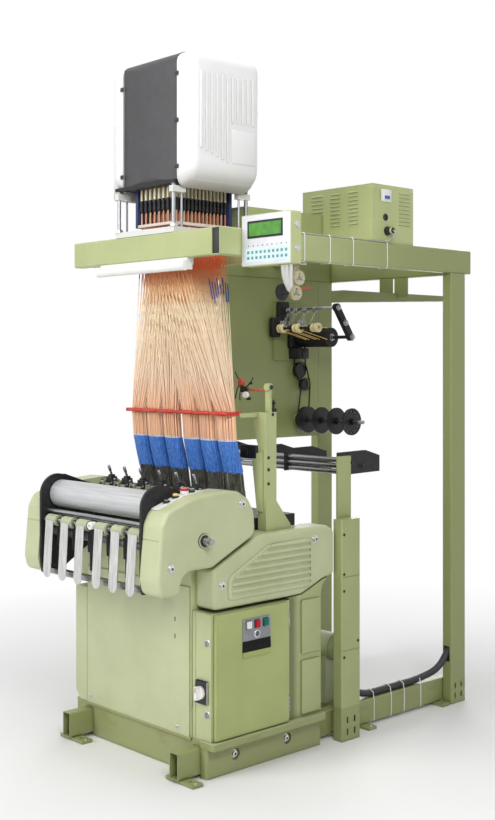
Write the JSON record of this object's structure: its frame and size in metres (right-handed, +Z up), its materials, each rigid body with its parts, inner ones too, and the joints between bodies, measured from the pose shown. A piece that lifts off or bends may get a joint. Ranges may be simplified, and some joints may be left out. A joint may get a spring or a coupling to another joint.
{
  "type": "narrow fabric jacquard loom",
  "caption": "Narrow-fabric jacquard loom: green machine body with take-off roller and control cabinet, tube gantry carrying a jacquard head, corded harness and power box.",
  "frame": {"origin": "middle of the bottom of the whole loom's box, on the floor", "axes": "+X across the loom to the right as the operator sees it, +Y from the operator side to the back, +Z up"},
  "size_m": [1.211, 2.2003, 2.758],
  "materials": {
    "paint": "pale sage green enamel",
    "paint_side": "sage green enamel",
    "steel": "bright steel",
    "chrome": "polished",
    "black_metal": "black satin enamel",
    "black_plastic": "moulded",
    "white_plastic": "moulded",
    "dark_grey": "fine texture",
    "red_plastic": "moulded",
    "cord": "harness cord",
    "sleeve": "blue sleeving",
    "heddle": "heddles and springs",
    "grey_plate": "grey plate"
  },
  "bodies": {
    "loom": {"arm_plates": "paint", "button_strip": "white_plastic", "cabinet_locks": "chrome", "cable_duct": "paint", "control_cabinet": "paint", "cross_beams": "paint", "display_box": "white_plastic", "door_hinges": "paint", "drive_motor": "paint_side", "end_cover_left": "paint", "end_cover_right": "paint", "feeder_frame": "black_metal", "floor_cable": "black_plastic", "floor_rails": "paint", "front_beam": "paint", "front_panel": "paint", "guide_discs": "white_plastic", "harness_arm": "paint", "harness_cords": "cord", "harness_sleeves": "sleeve", "head_base": "steel", "head_centre": "dark_grey", "head_cover_left": "white_plastic", "head_cover_right": "white_plastic", "head_posts": "steel", "heddles": "heddle", "hook_block": "cord", "lamp": "white_plastic", "left_housing": "paint", "left_side_plate": "paint", "machine_base": "paint", "main_switch": "black_plastic", "mid_columns": "paint", "needle_levers": "black_metal", "power_box": "paint", "rear_post_left": "paint", "rear_post_right": "paint", "red_bars": "red_plastic", "side_beam_left": "paint", "side_beam_right": "paint", "side_cover_left": "paint", "side_cover_right": "paint", "side_legs": "paint", "take_off_bars": "chrome", "take_off_plates": "black_metal", "tape_rings": "paint", "tape_strips": "steel", "warp_plates": "black_metal", "warp_rods": "chrome", "weaving_bed": "black_metal", "yarn_arm": "paint_side"},
    "cabinet_door": {"cabinet_door": "paint", "door_knuckles": "paint", "door_controls": "grey_plate"},
    "take_off_roller": {"take_off_roller": "steel"},
    "hand_shaft": {"hand_shaft": "steel"},
    "switch_knob": {"main_switch_knob": "white_plastic"},
    "feed_discs": {"feed_discs": "black_plastic"},
    "feed_roller": {"feed_roller": "black_plastic"}
  },
  "joints": [
    {"name": "cabinet_door_hinge", "type": "hinge", "parent": "loom", "child": "cabinet_door", "pos_m": [0.3385, -0.441, 0.37], "axis": [0, 0, 1], "range_deg": [0, 110]},
    {"name": "take_off_roller_spin", "type": "hinge", "parent": "loom", "child": "take_off_roller", "pos_m": [-0.1055, -0.99, 1.013], "axis": [1, 0, 0], "continuous": true},
    {"name": "hand_shaft_spin", "type": "hinge", "parent": "loom", "child": "hand_shaft", "pos_m": [0.3345, -0.875, 0.889], "axis": [1, 0, 0], "continuous": true},
    {"name": "main_switch_turn", "type": "hinge", "parent": "loom", "child": "switch_knob", "pos_m": [0.2875, -0.858, 0.319], "axis": [0, -1, 0], "range_deg": [0, 90]},
    {"name": "feed_discs_spin", "type": "hinge", "parent": "loom", "child": "feed_discs", "pos_m": [-0.3055, 0.453, 1.263], "axis": [1, 0, 0], "continuous": true},
    {"name": "feed_roller_spin", "type": "hinge", "parent": "loom", "child": "feed_roller", "pos_m": [-0.3055, 0.437, 1.663], "axis": [1, 0, 0], "continuous": true}
  ]
}
